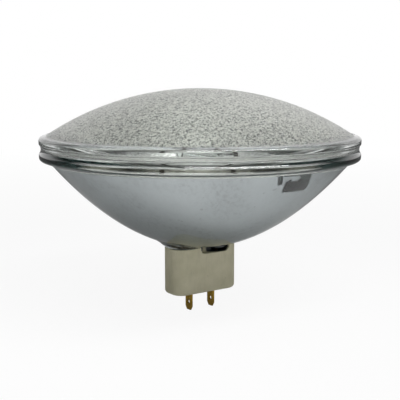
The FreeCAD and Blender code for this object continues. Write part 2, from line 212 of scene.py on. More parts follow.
print("steps round the axis:", SEGMENTS, "length at the rim:", round(2 * math.pi * rim_radius / SEGMENTS, 2))

# %% [markdown]
# ## The front lens
# A pressed dome of even thickness with a narrow sloping shoulder and a round-edged ridge that rests in the
# fixture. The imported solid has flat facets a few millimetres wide, which glass would show as kinks in what
# is seen through it. Smooth shading alone hides facets on a metal, but not in refraction, so the same
# profile is turned again in fine steps.

# %% The lens
# The seam is left open by a hair on each side, so that the two pressings don't share a face.
seam_gap = 0.03
lens_dome_steps = 90
lens_inside_steps = 50
lens_edge_steps = 14
foot_steps = 8
flange_steps = 4
short_steps = 2


def lens_profile():
    """From the outer pole down the dome, round the ridge, under the flange and back up the inside of the
    dome, whose sphere is the wall smaller."""
    shoulder = (lens_shoulder_radius, lens_shoulder_height)
    edge = (rim_radius, lens_rim_edge)
    foot = (rim_radius, ridge_foot_height)
    waist = (waist_radius, waist_half_height)
    inner = lens_sphere - lens_wall
    throat_height = sphere_profile(np.array([throat_radius]), inner)[0, 1]
    return np.vstack([
        sphere_profile(np.linspace(0, lens_shoulder_radius, lens_dome_steps), lens_sphere),
        rounded(shoulder, edge, foot, lens_rim_round, lens_edge_steps),
        rounded(edge, foot, groove_edge, ridge_foot_round, foot_steps),
        straight(groove_edge, waist, short_steps),
        straight(waist, (waist_radius, seam_gap), short_steps),
        straight((waist_radius, seam_gap), (flange_inner_radius, seam_gap), flange_steps),
        straight((flange_inner_radius, seam_gap), (throat_radius, throat_height), flange_steps),
        sphere_profile(np.linspace(throat_radius, 0, lens_inside_steps), inner),
    ])


lens_pressing = turned_solid("lens_pressing", lens_profile())
print("lens faces:", len(lens_pressing.data.polygons))

# %% [markdown]
# ## The reflector bowl
# The outside is a paraboloid too, a little wider than the inside, with a ridge like the lens's and a flat
# heel. Two bosses run into the heel, where the metal ferrules are sealed into the glass. They aren't turned
# shapes. A Boolean could add them, but it would cut the smooth grid into slivers. So the turned grid is made
# fine near the axis, and its outer points are lowered to the bosses' cones wherever those are lower. A
# smooth minimum leaves the small fillet that a press tool leaves.

# %% Sizes of the bosses, and of the grid where they stand
boss_foot_radius = 11.2
boss_height = 5.6
boss_flare = 6.9
boss_fillet = 0.9
# above its own height a cone is lifted clear, so that it no longer counts
boss_lift = 5.0
# a point this near to the outer paraboloid belongs to the outside
height_tolerance = 0.01
seat_steps = 70
bowl_edge_steps = 12
heel_grid_radius = 34.0
outside_steps = 60
heel_steps = 69
print("a boss widens from", 2 * boss_foot_radius, "to", 2 * (boss_foot_radius + boss_flare), "mm")


# %% The bowl
def smooth_min(a, b, width):
    """The lower of two heights, blended over a width: the lesser, less the square of how far the two overlap
    within the width, over four widths."""
    overlap = np.clip(width - np.abs(a - b), 0, None)
    return np.minimum(a, b) - overlap ** 2 / (4 * width)


def bowl_heel(points):
    """Lowers the outer points near the axis to the bosses, and cuts them off at the heel. A boss's cone
    rises from the heel by its height over its flare, times the distance from the ferrule beyond its foot."""
    x, y, z = points.T
    outer = paraboloid_height(np.hypot(x, y), bowl_focal_length, bowl_pole_depth)
    on_outside = np.abs(z - outer) < height_tolerance
    height = np.maximum(outer, -heel_depth)
    for side in (-1, 1):
        distance = np.hypot(x - side * ferrule_offset, y)
        cone = -heel_depth + (distance - boss_foot_radius) * boss_height / boss_flare
        cone = np.where(cone < -heel_depth + boss_height, cone, cone + boss_lift)
        height = smooth_min(height, cone, boss_fillet)
    height = np.maximum(height, -heel_depth)
    return np.column_stack([x, y, np.where(on_outside, height, z)])


def bowl_profile_closed():
    """From the inner pole up the mirror's seat, over the flange, round the ridge and down the outside."""
    shoulder = (bowl_shoulder_radius, bowl_shoulder_height)
    edge = (rim_radius, bowl_rim_edge)
    foot = (rim_radius, -ridge_foot_height)
    waist = (waist_radius, -waist_half_height)
    groove_foot = (groove_edge[0], -groove_edge[1])
    flange = (flange_inner_radius, -seam_gap)
    outside_radii = np.concatenate([
        np.linspace(bowl_shoulder_radius, heel_grid_radius, outside_steps, endpoint=False),
        np.linspace(heel_grid_radius, 0, heel_steps),
    ])
    return np.vstack([
        bowl_profile(np.linspace(0, throat_radius, seat_steps), mirror_focal_length, mirror_pole_depth),
        straight((throat_radius, -throat_depth), flange, flange_steps)[1:],
        straight(flange, (waist_radius, -seam_gap), flange_steps),
        straight((waist_radius, -seam_gap), waist, short_steps),
        straight(waist, groove_foot, short_steps),
        rounded(groove_foot, foot, edge, ridge_foot_round, foot_steps),
        rounded(foot, edge, shoulder, bowl_rim_round, bowl_edge_steps),
        bowl_profile(outside_radii, bowl_focal_length, bowl_pole_depth),
    ])


bowl_pressing = turned_solid("bowl_pressing", bowl_profile_closed(), shape=bowl_heel)
print("bowl faces:", len(bowl_pressing.data.polygons))

# %% [markdown]
# ## The mirror coating
# Aluminium is evaporated onto the inside of the bowl. The glass stays bare round the two ferrules, and at
# one place on the brim there is a clear window with a narrow slit beside it. A painted mask could show that
# gap, but real edges look right from every side. So the grid's own lines are bent to run along the window's
# sides, and the faces inside it are left out.

# %% Outlines of the window and the slit: radii in millimetres, and azimuths in degrees at those radii
coating_brim = 91.0
window_rows = np.array([91.2, 89.0, 87.0, 84.4, 82.6, 81.4])
window_left = np.array([-95.5, -93.7, -92.4, -91.8, -91.3, -90.6])
window_right = np.array([-82.6, -81.7, -80.7, -79.3, -78.7, -79.0])
slit_rows = np.array([91.2, 86.0])
slit_left = np.array([-96.8, -95.1])
slit_right = np.array([-95.8, -94.0])
# a small island of aluminium stays in the window, and a notch is missing from it
island_radii = np.array([87.2, 87.9, 88.7, 89.6, 90.5])
island_right = np.array([-88.0, -87.0, -86.6, -87.0, -88.2])
notch_azimuth = -91.2
notch_half_width = 0.45
notch_radius = 87.7
notch_half_height = 0.5
print("the window goes in from the brim by", round(coating_brim - window_rows[-1], 1), "mm")


# %% The coating's grid, bent to the window
# columns across the slit, the strip beside it, the window and all the rest
slit_columns = 2
strip_columns = 3
window_columns = 24
other_columns = 291
column_counts = (slit_columns, strip_columns, window_columns, other_columns)
# rows down to the slit's end, then to the window's end, then to the pole
slit_steps = 12
window_steps = 11
lower_steps = 96
smallest_ring = 1.0


def coating_rows():
    """Radii of the grid's rows, in even steps from the brim to the slit's end, the window's end and the
    pole."""
    return np.concatenate([
        np.linspace(coating_brim, slit_rows[-1], slit_steps),
        np.linspace(slit_rows[-1], window_rows[-1], window_steps)[1:],
        np.linspace(window_rows[-1], smallest_ring, lower_steps)[1:],
    ])


def coating_stops(radius):
    """Azimuths in degrees, one row of them for each radius: both sides of the slit, both sides of the
    window, and the slit's first side again a full turn on. Each side is interpolated between the points
    of its outline."""
    sides = [
        (slit_rows, slit_left),
        (slit_rows, slit_right),
        (window_rows, window_left),
        (window_rows, window_right),
    ]
    stops = [np.interp(radius, at[::-1], value[::-1]) for at, value in sides]
    return np.column_stack([*stops, stops[0] + 360])


def coating_azimuth(stops):
    """Azimuth of every grid point: from each stop to the next, as many even steps as that stretch has
    columns, so a column keeps to its side of the window all the way down."""
    return np.hstack([
        stops[:, k, None] + (stops[:, k + 1] - stops[:, k])[:, None] * np.arange(n) / n
        for k, n in enumerate(column_counts)
    ])


row_radius = coating_rows()
azimuth_grid = coating_azimuth(coating_stops(row_radius))
print("rows and columns of the coating:", azimuth_grid.shape)

# %% The faces that the window, the slit and the ferrules' holes leave out
coating_hole_radius = 9.0
# points of a hole's edge that are this near to its circle are moved onto it
hole_edge_reach = 1.2
# from a column's first side to its middle, in degrees
half_column = 0.25


def in_openings(radius, azimuth):
    """True for the faces of the slit and of the window, apart from those of the island without its notch."""
    rows, columns = azimuth.shape
    j, i = np.meshgrid(np.arange(rows - 1), np.arange(columns), indexing="ij")
    in_slit = (i < slit_columns) & (j < slit_steps - 1)
    window_start = slit_columns + strip_columns
    in_window = (i >= window_start) & (i < window_start + window_columns)
    in_window &= j < slit_steps + window_steps - 2
    face_radius = (radius[:-1, None] + radius[1:, None]) / 2 + 0 * i
    face_azimuth = (azimuth[:-1] + azimuth[1:]) / 2 + half_column
    island = (face_radius > island_radii[0]) & (face_radius < island_radii[-1])
    island &= face_azimuth < np.interp(face_radius, island_radii, island_right)
    notch = np.abs(face_azimuth - notch_azimuth) < notch_half_width
    notch &= np.abs(face_radius - notch_radius) < notch_half_height
    return in_slit | (in_window & (~island | notch))


def in_holes(points, quads):
    """True for faces whose centre is nearer to a ferrule's axis than the radius of its hole."""
    x, y, _ = points[quads].mean(axis=1).T
    return np.any([np.hypot(x - side * ferrule_offset, y) < coating_hole_radius for side in (-1, 1)], axis=0)


def round_holes(points, edge):
    """Moves the points at the holes' stepped edge onto a circle: each goes along its ray from the ferrule's
    axis by the hole's radius over its distance."""
    for side in (-1, 1):
        away = points[edge, :2] - [side * ferrule_offset, 0]
        distance = np.linalg.norm(away, axis=1)
        near = np.abs(distance - coating_hole_radius) < hole_edge_reach
        points[edge[near], :2] += away[near] * (coating_hole_radius / distance[near] - 1)[:, None]


open_faces = in_openings(row_radius, azimuth_grid)
print("faces left out for the window and the slit:", int(open_faces.sum()))


# %% The layer
def aluminium_layer(radius, azimuth, left_out):
    """Points and faces of the coating. Each point is (radius times cosine, radius times sine, height) of its
    row's radius and its own azimuth, and the height is that of the mirror's paraboloid. A fan closes the
    pole."""
    rows, columns = azimuth.shape
    angle = np.radians(azimuth)
    z = paraboloid_height(radius, mirror_focal_length, mirror_pole_depth)[:, None] + 0 * angle
    points = np.stack([radius[:, None] * np.cos(angle), radius[:, None] * np.sin(angle), z], axis=-1)
    points = points.reshape(-1, 3)
    quads = ring_faces(rows, columns).reshape(rows - 1, columns, 4)[:, :, ::-1]
    quads = quads[~left_out]
    bare = in_holes(points, quads)
    round_holes(points, np.intersect1d(quads[bare], quads[~bare]))
    pole = len(points)
    last = (rows - 1) * columns
    around = np.arange(columns)
    fan = np.column_stack([np.full(columns, pole), last + around, last + (around + 1) % columns])
    points = np.vstack([points, [0, 0, -mirror_pole_depth]])
    return points, [*quads[~bare], *fan]


aluminium = mesh_object("aluminium_layer", *aluminium_layer(row_radius, azimuth_grid, open_faces))
print("coating faces:", len(aluminium.data.polygons))

# %% Loose points go, and the layer gets its thickness
# Half of the thickness is sunk in the glass, so that no air lies between.
coating_thickness = 0.16


def clean(piece):
    """Removes points that no face uses."""
    mesh = bmesh.new()
    mesh.from_mesh(piece.data)
    bmesh.ops.delete(mesh, geom=[v for v in mesh.verts if not v.link_faces], context="VERTS")
    mesh.to_mesh(piece.data)
    mesh.free()


clean(aluminium)
wall = aluminium.modifiers.new("layer", "SOLIDIFY")
wall.thickness = coating_thickness * MM
wall.offset = 0
# the side towards the glass and the layer's edges get the second finish, the free side keeps the first
wall.material_offset = 1
wall.material_offset_rim = 1
print("coating points:", len(aluminium.data.vertices), "layer in mm:", coating_thickness)

# %% [markdown]
# ## Finishes
# Each finish is a procedural material. Patterns read Object coordinates, which stay with the piece and have
# one scale everywhere. Typing every node and link out would bury what a finish does, so short helpers place
# a node with its inputs and hand back its result.

# %% Helpers that place and join nodes
def node(tree, kind, inputs=None, **settings):
    """A new node with its settings and inputs. An input given as a socket is linked, anything else is its
    value."""
    made = tree.nodes.new(kind)
    for name, value in settings.items():
        setattr(made, name, value)
    for name, value in (inputs or {}).items():
        if isinstance(value, bpy.types.NodeSocket):
            tree.links.new(value, made.inputs[name])
        else:
            made.inputs[name].default_value = value
    return made


def math_node(tree, operation, *values, clamp=False):
    """Result of one operation on one or two values."""
    made = node(tree, "ShaderNodeMath", dict(enumerate(values)), operation=operation, use_clamp=clamp)
    return made.outputs[0]


def vector_node(tree, operation, *values):
    """Result of one operation on vectors: a vector, or a plain value for a length or a distance."""
    made = node(tree, "ShaderNodeVectorMath", dict(enumerate(values)), operation=operation)
    plain = operation in ("LENGTH", "DISTANCE", "DOT_PRODUCT")
    return made.outputs["Value" if plain else "Vector"]


def mapped(tree, value, low, high, to_low=0.0, to_high=1.0):
    """A value stretched from one range to another and held inside it."""
    return node(tree, "ShaderNodeMapRange", {0: value, 1: low, 2: high, 3: to_low, 4: to_high}).outputs[0]


def mixed(tree, factor, first, second):
    """Two colours blended by a factor: the first at 0, the second at 1."""
    made = node(tree, "ShaderNodeMix", data_type="RGBA")
    for socket, value in ((0, factor), (6, first), (7, second)):
        if isinstance(value, bpy.types.NodeSocket):
            tree.links.new(value, made.inputs[socket])
        else:
            made.inputs[socket].default_value = (*value, 1)
    return made.outputs[2]


def noise(tree, vector, scale, detail=3.0, roughness=0.5, distortion=0.0):
    """Height of a cloudy noise, about 0.3 to 0.7 for the most part."""
    return node(tree, "ShaderNodeTexNoise", {
        "Vector": vector, "Scale": scale, "Detail": detail, "Roughness": roughness, "Distortion": distortion,
    }).outputs[0]


print("helpers for math, vectors, ranges, colours and noise are ready")


# %% Helpers that start a material and give it relief
def finish(name, **plain):
    """A material with one Principled shader, its plain values set on its own sockets."""
    material = bpy.data.materials.new(name)
    material.use_nodes = True
    tree = material.node_tree
    shader = tree.nodes["Principled BSDF"]
    for socket, value in plain.items():
        shader.inputs[socket.replace("_", " ")].default_value = value
    place = node(tree, "ShaderNodeTexCoord").outputs["Object"]
    return material, tree, shader, place


def feed(tree, shader, **changing):
    """Links what changes over the surface to the shader's sockets."""
    for socket, value in changing.items():
        tree.links.new(value, shader.inputs[socket.replace("_", " ")])


def bump(tree, shader, height, depth):
    """Relief without more faces: the height, times a depth in millimetres, tilts the shading."""
    relief = node(tree, "ShaderNodeBump", {"Height": height, "Distance": depth * MM})
    feed(tree, shader, Normal=relief.outputs[0])


print("a finish starts from one Principled shader")

# %% [markdown]
# ## Grain and wear that several finishes share
# Cloudy roughness is on every metal and on the ceramic, and the dust and wiped streaks of a handled lamp are
# on the bowl, the base and the blades. Such an effect could be copied into each material, but a node group
# is built once, and every material gives it its own values. The groups put out levels only. The shader stays
# in the material.

# %% Two node groups with named inputs
def shared(name, inputs, output):
    """An empty node group with named inputs and one float output, with its two end nodes."""
    tree = bpy.data.node_groups.new(name, "ShaderNodeTree")
    for label, kind in inputs.items():
        tree.interface.new_socket(label, in_out="INPUT", socket_type=f"NodeSocket{kind}")
    tree.interface.new_socket(output, in_out="OUTPUT", socket_type="NodeSocketFloat")
    return tree, node(tree, "NodeGroupInput").outputs, node(tree, "NodeGroupOutput").inputs[0]


def make_grain_group():
    """Noise of a given scale stretched between two levels: cloudy roughness for any finish."""
    inputs = {"Place": "Vector", "Scale": "Float", "Low": "Float", "High": "Float"}
    tree, given, result = shared("fine_grain", inputs, "Level")
    cloud = noise(tree, given["Place"], given["Scale"])
    tree.links.new(mapped(tree, cloud, 0.3, 0.7, given["Low"], given["High"]), result)
    return tree


def make_marks_group():
    """Wear of a handled lamp as a mask: thin wiped streaks along the axis, stronger in broad patches, a haze
    over those patches, and specks. The greater of haze with streaks and of specks counts."""
    tree, given, result = shared("handling_marks", {"Place": "Vector", "Size": "Float"}, "Mask")
    inputs = {0: given["Place"], "Scale": given["Size"]}
    place = node(tree, "ShaderNodeVectorMath", inputs, operation="SCALE").outputs[0]
    stretched = vector_node(tree, "MULTIPLY", place, (1.0, 1.0, 0.12))
    streaks = mapped(tree, noise(tree, stretched, 420.0, 4.0, 0.65), 0.46, 0.78)
    patches = mapped(tree, noise(tree, place, 28.0, 3.0, 0.6, 0.6), 0.38, 0.68)
    specks = mapped(tree, noise(tree, place, 330.0, 0.0), 0.79, 0.84)
    worn = math_node(tree, "MULTIPLY", streaks, math_node(tree, "ADD", patches, 0.25))
    haze = math_node(tree, "ADD", math_node(tree, "MULTIPLY", patches, 0.35), worn)
    tree.links.new(math_node(tree, "MAXIMUM", haze, specks, clamp=True), result)
    return tree


grain_group = make_grain_group()
marks_group = make_marks_group()


def grain(tree, place, scale, low, high):
    """Cloudy level between low and high, from the shared group."""
    inputs = {"Place": place, "Scale": scale, "Low": low, "High": high}
    return node(tree, "ShaderNodeGroup", inputs, node_tree=grain_group).outputs[0]


def marks(tree, place, size):
    """Mask of wear, from the shared group. A greater size makes the marks smaller."""
    return node(tree, "ShaderNodeGroup", {"Place": place, "Size": size}, node_tree=marks_group).outputs[0]


print("shared groups:", [group.name for group in bpy.data.node_groups])

# %% [markdown]
# ## Stippled glass
# The front of the lens is pressed with thousands of tiny bumps that blur the burner's image. Seen from
# outside it is a pale grey skin with a fine wriggly grain, and the rim round it is clear. Bumps about a
# millimetre wide would need millions of faces, so one noise stands for them twice: its height tilts the
# shading through a Bump node, and its valleys get painted shade, a dark colour for the bumps' shaded sides.
# A distorted noise is what makes the grain wriggle. The transmission is a little under one, which leaves
# some plain pale grey that doesn't depend on what lies behind.

# %% The lens's stippled finish
glass_ior = 1.48
stipple_radius = 96.8
stipple_depth = 0.22
# the valleys' colour is painted shade: the dark sides of the bumps
stipple_valley_shade = (0.03, 0.032, 0.028)
stipple_hill = (0.97, 0.99, 0.9)


def stippled_glass():
    """Frosted glass with painted shade in the noise's valleys, nearly white on its hills."""
    material, tree, shader, place = finish(
        "stippled_glass", IOR=glass_ior, Transmission_Weight=0.88, Roughness=0.28)
    bumps = noise(tree, place, 820.0, 1.5, 0.5, 1.6)
    bump(tree, shader, bumps, stipple_depth)
    tone = mapped(tree, bumps, 0.42, 0.51)
    feed(tree, shader, Base_Color=mixed(tree, tone, stipple_valley_shade, stipple_hill))
    return material


stippled = stippled_glass()
print("made", stippled.name)

# %% [markdown]
# ## Clear glass
# The rest of the lamp is clear, but thick glass looks dark and greenish where it is seen edge on, because
# the light goes a long way through it there. Volume absorption would be the physical way. It needs many more
# light paths, and an exported surface can't hold it. So the tint sits in the base colour, and Layer Weight's
# Facing, which is 0 seen straight on and 1 edge on, blends it in. The glass behind the bare window is painted
# near black instead: painted shade for the dark inside of the thick bowl that shows there.

# %% Glass that darkens edge on
clear = (0.94, 0.96, 0.95)
near_black = (0.003, 0.008, 0.007)


def glass_start(name, ior=glass_ior):
    """Clear glass with the slightly uneven gloss of a pressing, and how obliquely it is seen, 0 to 1."""
    material, tree, shader, place = finish(name, IOR=ior, Transmission_Weight=1.0)
    flow = noise(tree, place, 40.0, 1.0)
    feed(tree, shader, Roughness=mapped(tree, flow, 0.3, 0.7, 0.01, 0.04))
    facing = node(tree, "ShaderNodeLayerWeight").outputs["Facing"]
    return material, tree, shader, place, facing


def plain_glass(name, edge_on, start, stop=1.0, face_on=clear, ior=glass_ior):
    """Glass whose colour goes from face on to edge on between two levels of Facing."""
    material, tree, shader, _, facing = glass_start(name, ior)
    feed(tree, shader, Base_Color=mixed(tree, mapped(tree, facing, start, stop), face_on, edge_on))
    return material


lens_glass = plain_glass("lens_glass", (0.16, 0.2, 0.18), 0.45, 0.95)
bowl_glass = plain_glass("bowl_glass", (0.24, 0.33, 0.33), 0.35)
# painted shade: near black face on, for the dark inside of the bowl behind the bare window
window_glass_painted_shade = plain_glass("bare_window_painted_shade", (0.001, 0.003, 0.0026), 0.2, 0.8, near_black, 1.3)
quartz = plain_glass("quartz", (0.55, 0.62, 0.6), 0.45)
print("made", [glass.name for glass in (lens_glass, bowl_glass, window_glass_painted_shade, quartz)])

# %% [markdown]
# ## The bowl's ridge
# The ridge is the thickest glass of the lamp. Each height of its face looks along another way through the
# glass, so it shows thin lines: a grey one at the groove, an olive one in the middle, and pale ones between.
# Seen from the side it is nearly black. Those lines come from reflections inside the seal, which a smooth
# model doesn't have, so a colour ramp over the height paints them on as painted reflections, bright and dark,
# and a second ramp says how obliquely each height has to be seen before it turns dark.

# %% Glass of the ridge with painted reflections, its stops told by height in millimetres
dim = (0.4, 0.42, 0.42)
pale_line = (0.94, 0.95, 0.93)
bright_line = (0.96, 0.97, 0.95)
olive = (0.13, 0.13, 0.1)
grey = (0.16, 0.17, 0.165)
darkening_range = 0.12
# painted reflections: the ridge's bright and dark lines, each a colour over a span of height
ridge_painted_reflections = (
    (-9.0, clear), (-7.5, clear),
    (-7.1, dim), (-6.2, dim),
    (-5.9, pale_line), (-5.2, pale_line),
    (-4.9, olive), (-3.6, olive),
    (-3.4, bright_line), (-2.6, bright_line),
    (-2.3, grey), (-1.1, grey),
    (-0.8, clear), (0.0, clear),
)
ridge_starts = (
    (-9.0, 0.8), (-7.6, 0.7), (-7.0, 0.42), (-6.5, 0.36), (-5.0, 0.24), (-3.6, 0.2),
    (-3.3, 0.3), (-2.4, 0.35), (-2.2, 0.05), (-1.2, 0.07), (-0.8, 0.5), (0.0, 0.6),
)


def height_ramp(tree, height, stops):
    """Colour or level at a height, straight between stops. Each stop is a height and what it has there."""
    low, high = stops[0][0], stops[-1][0]
    made = node(tree, "ShaderNodeValToRGB", {0: mapped(tree, height, low * MM, high * MM)})
    elements = made.color_ramp.elements
    while len(elements) < len(stops):
        elements.new(1.0)
    for element, (at, level) in zip(elements, stops):
        element.position = (at - low) / (high - low)
        element.color = (*level, 1) if isinstance(level, tuple) else (level, level, level, 1)
    return made.outputs[0]


def ridge_glass():
    """The ramp's painted reflections, going to near black over a short range of Facing beyond that height's
    start.
    """
    material, tree, shader, place, facing = glass_start("rim_glass")
    height = node(tree, "ShaderNodeSeparateXYZ", {0: place}).outputs["Z"]
    face_on = height_ramp(tree, height, ridge_painted_reflections)
    past = math_node(tree, "SUBTRACT", facing, height_ramp(tree, height, ridge_starts))
    feed(tree, shader, Base_Color=mixed(tree, mapped(tree, past, 0.0, darkening_range), face_on, near_black))
    return material


rim_glass = ridge_glass()
print("made", rim_glass.name, "with", len(ridge_painted_reflections), "and", len(ridge_starts), "stops")

# %% [markdown]
# ## Metals
# The evaporated aluminium is a mirror on its free side. Through the bowl it looks satin and blue grey. The
# handling marks lie on the outside of the glass, but clear glass hardly shows a colour of its own, so the
# layer's back carries them. The posts, foils, ferrules and wires are plain drawn or stamped metal, for which
# cloudy roughness is enough.

# %% Aluminium and plain metals
layer_grain = 30.0
wire_grain = 300.0


def metal(name, colour, scale, low, high, worn=False):
    """Metal of one colour, its roughness a grain between two levels. Where worn metal's mask of wear is
    full, each part of its colour is four fifths of what it was."""
    material, tree, shader, place = finish(name, Base_Color=(*colour, 1), Metallic=1.0)
    feed(tree, shader, Roughness=grain(tree, place, scale, low, high))
    if worn:
        dull = tuple(0.8 * level for level in colour)
        feed(tree, shader, Base_Color=mixed(tree, marks(tree, place, 1.0), colour, dull))
    return material


mirror_face = metal("mirror_face", (0.88, 0.89, 0.9), layer_grain, 0.03, 0.08)
satin_back = metal("satin_back", (0.68, 0.72, 0.74), layer_grain, 0.28, 0.36, worn=True)
oxidised = metal("oxidised_nickel_iron", (0.13, 0.14, 0.14), wire_grain, 0.25, 0.45)
nickel = metal("nickel", (0.12, 0.11, 0.1), wire_grain, 0.3, 0.5)
tungsten = metal("tungsten", (0.25, 0.25, 0.26), wire_grain, 0.3, 0.5)
molybdenum = metal("molybdenum", (0.2, 0.2, 0.2), wire_grain, 0.2, 0.35)
copper = metal("copper", (0.3, 0.2, 0.14), wire_grain, 0.3, 0.45)
print("made", [m.name for m in (mirror_face, satin_back, oxidised, nickel, tungsten, molybdenum, copper)])

# %% [markdown]
# ## The ceramic base and the brass blades
# The base is pressed steatite, a matt beige ceramic with a fine tooth and grubby streaks. Its recesses under
# the bowl get painted shade, dark and shiny. The shade is painted by the distance from the recess, not made
# by a piece of its own. Taking the absolute value of the place first makes one patch of painted shade serve
# both recesses. The blades are stamped brass, tarnished where they were handled.

# %% Steatite, with painted shade in its recesses
# painted shade in the recesses under the bowl: its middle, stretch, radii and colour
recess_shade_place = (11.5, 0.0, heel_depth + 1)
recess_shade_stretch = (0.8, 1.0, 1.0)
recess_shade_radius = 9.2
recess_shade_edge = 9.9
recess_shade_colour = (0.025, 0.035, 0.035)
steatite_low = (0.66, 0.63, 0.44)
steatite_high = (0.75, 0.71, 0.52)
grubby_colour = (0.5, 0.47, 0.32)


def steatite():
    """Beige grain with streaks of wear, and painted shade in the recesses that fades between two distances
    from the recess's middle."""
    material, tree, shader, place = finish("steatite")
    body = mixed(tree, grain(tree, place, 120.0, 0.0, 1.0), steatite_low, steatite_high)
    grubby = math_node(tree, "MULTIPLY", marks(tree, place, 1.6), 0.5)
    body = mixed(tree, grubby, body, grubby_colour)
    both_ends = vector_node(tree, "ABSOLUTE", place)
    away = vector_node(tree, "SUBTRACT", both_ends, Vector(recess_shade_place) * MM)
    away = vector_node(tree, "LENGTH", vector_node(tree, "MULTIPLY", away, recess_shade_stretch))
    # painted shade: full inside the recess, gone beyond its edge
    recess_shade = mapped(tree, away, recess_shade_radius * MM, recess_shade_edge * MM, 1.0, 0.0)
    feed(tree, shader, Base_Color=mixed(tree, recess_shade, body, recess_shade_colour),
         Roughness=mapped(tree, recess_shade, 0.0, 1.0, 0.75, 0.3))
    bump(tree, shader, noise(tree, place, 1500.0, 2.0), 0.05)
    return material


ceramic = steatite()
print("made", ceramic.name)

# %% Stamped brass
bright_brass = (0.5, 0.32, 0.05)
tarnished_brass = (0.3, 0.19, 0.035)


def stamped_brass():
    """Brass between bright and tarnished by the mask of wear, with the fine tooth of the strip."""
    material, tree, shader, place = finish("stamped_brass", Metallic=1.0)
    feed(tree, shader, Roughness=grain(tree, place, 400.0, 0.3, 0.5),
         Base_Color=mixed(tree, marks(tree, place, 4.0), bright_brass, tarnished_brass))
    bump(tree, shader, noise(tree, place, 2500.0, 2.0), 0.03)
    return material


brass = stamped_brass()
print("made", brass.name)

# %% [markdown]
# ## Which face has which finish
# One pressing has several finishes: the lens is stippled outside and clear elsewhere, and the bowl has its
# ridge and its bare window. Where two pressings are fused there is no surface at all, so those faces let
# light pass unbent. Painting masks into one material would do, but a material for each region is easier to
# read and to change. The faces are sorted by where their centres lie.

# %% Sorting the faces of both pressings
seam_reach = 0.05
face_reach = 0.1
ridge_inner_radius = 94.0
window_radii = (79.5, throat_radius)
window_azimuths = (-98.5, -76.5)
fused = finish("fused_seam", Base_Color=(1, 1, 1, 1), IOR=1.0, Roughness=0.0, Transmission_Weight=1.0)[0]


def face_places(piece):
    """Radius, azimuth in degrees and height of every face's centre."""
    centre = np.empty(3 * len(piece.data.polygons), np.float32)
    piece.data.polygons.foreach_get("center", centre)
    x, y, z = centre.reshape(-1, 3).T / MM
    return np.hypot(x, y), np.degrees(np.arctan2(y, x)), z


def inside(value, limits):
    """True where a value lies between two limits."""
    return (value > limits[0]) & (value < limits[1])


def lens_regions(radius, height):
    """2 for the stippled face, which is beyond the middle of the wall, 1 for the seam, 0 for the rest."""
    middle = sphere_centre_height + np.sqrt((lens_sphere - lens_wall / 2) ** 2 - radius ** 2)
    stippled_face = (height > middle) & (radius < stipple_radius)
    return np.select([stippled_face, np.abs(height) < seam_reach], [2, 1], 0)


def bowl_regions(radius, azimuth, height):
    """3 for the mirror's seat behind the window, 2 for the ridge, 1 for the seam, 0 for the rest."""
    seat = paraboloid_height(radius, mirror_focal_length, mirror_pole_depth)
    window = inside(height, (seat - face_reach, seat + face_reach))
    window &= inside(radius, window_radii) & inside(azimuth, window_azimuths)
    ridge = inside(height, (bowl_shoulder_height - face_reach, -seam_reach)) & (radius > ridge_inner_radius)
    return np.select([window, ridge, np.abs(height) < seam_reach], [3, 2, 1], 0)


def give_finishes(piece, region, materials):
    """Gives a piece its materials, and each face the number of the one for its region."""
    for material in materials:
        piece.data.materials.append(material)
    piece.data.polygons.foreach_set("material_index", region.astype(np.int32))
    print(piece.name, "faces of each finish:", np.bincount(region).tolist())


lens_radius, _, lens_height = face_places(lens_pressing)
lens_region = lens_regions(lens_radius, lens_height)
bowl_region = bowl_regions(*face_places(bowl_pressing))
give_finishes(lens_pressing, lens_region, (lens_glass, fused, stippled))
give_finishes(bowl_pressing, bowl_region, (bowl_glass, fused, rim_glass, window_glass_painted_shade))

# %% [markdown]
# ## Finishes onto pieces
# The three new pieces take the place of their coarse solids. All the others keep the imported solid's own
# mesh, which is fine enough for them, and only get a finish.

# %% The three new pieces
for material in (mirror_face, satin_back):
    aluminium.data.materials.append(material)
for piece, solid, slot in (
    (lens_pressing, "front_lens", "lens_glass"),
    (bowl_pressing, "reflector_bowl", "bowl_glass"),
    (aluminium, "mirror_coating", "mirror_aluminium"),
):
    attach(piece, "root")
    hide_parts(solid)
    print(piece.name, "stands in for", solid)


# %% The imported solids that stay
def dress(name, material):
    """Gives a solid's object one material in its slots."""
    piece = bpy.data.objects[name]
    if not piece.material_slots:
        piece.data.materials.append(material)
    for slot in piece.material_slots:
        slot.material = material


single_finishes = {"ceramic_base": ceramic, "burner_envelope": quartz, "filament": tungsten}
paired_finishes = {
    "contact_blade": brass, "ferrule": oxidised, "lead_post": nickel, "filament_lead": tungsten,
    "sealing_foil": molybdenum, "burner_pin": molybdenum, "link_wire": copper, "base_cement": ceramic,
}
for name, material in single_finishes.items():
    dress(name, material)
for name, material in paired_finishes.items():
    for side in ("left", "right"):
        dress(f"{name}_{side}", material)
print("dressed solids:", len(single_finishes) + 2 * len(paired_finishes))

# %% [markdown]
# ## The stage
# The lamp was photographed on white with soft light. A white sheet all round would do for the background,
# but glass and metal look like what they reflect, and evenly white surroundings would make them flat. So
# only the camera sees pure white. What the lamp reflects is a dim room with a pale backdrop behind the lamp,
# a glow high on that backdrop, a bright strip overhead, and weaker light in front and from the right. A zone
# is told by how far a direction points towards the camera, to the right and up.

# %% Where the photograph was taken from: distances in millimetres, angles in radians
camera_distance = 540.0
camera_height = 47.3
camera_turn = 0.616
camera_dip = 0.1507
to_camera = Vector((-math.sin(camera_turn), -math.cos(camera_turn), 0))
to_right = Vector((math.cos(camera_turn), -math.sin(camera_turn), 0))
print("towards the camera:", [round(v, 3) for v in to_camera])
print("to its right:", [round(v, 3) for v in to_right])

# %% The floor
floor_gap = 0.2
floor_half_width = 4000
floor_height = solid_box[0].z / MM - floor_gap
# the middle of the painted pool of light under the lamp, and the distances from it over which three levels
# change
lit_spot = (-90, -30)
painted_pool_start, painted_pool_end = 60, 420
shade_start, shade_end = 200, 1200
gloss_start, gloss_end = 60, 400


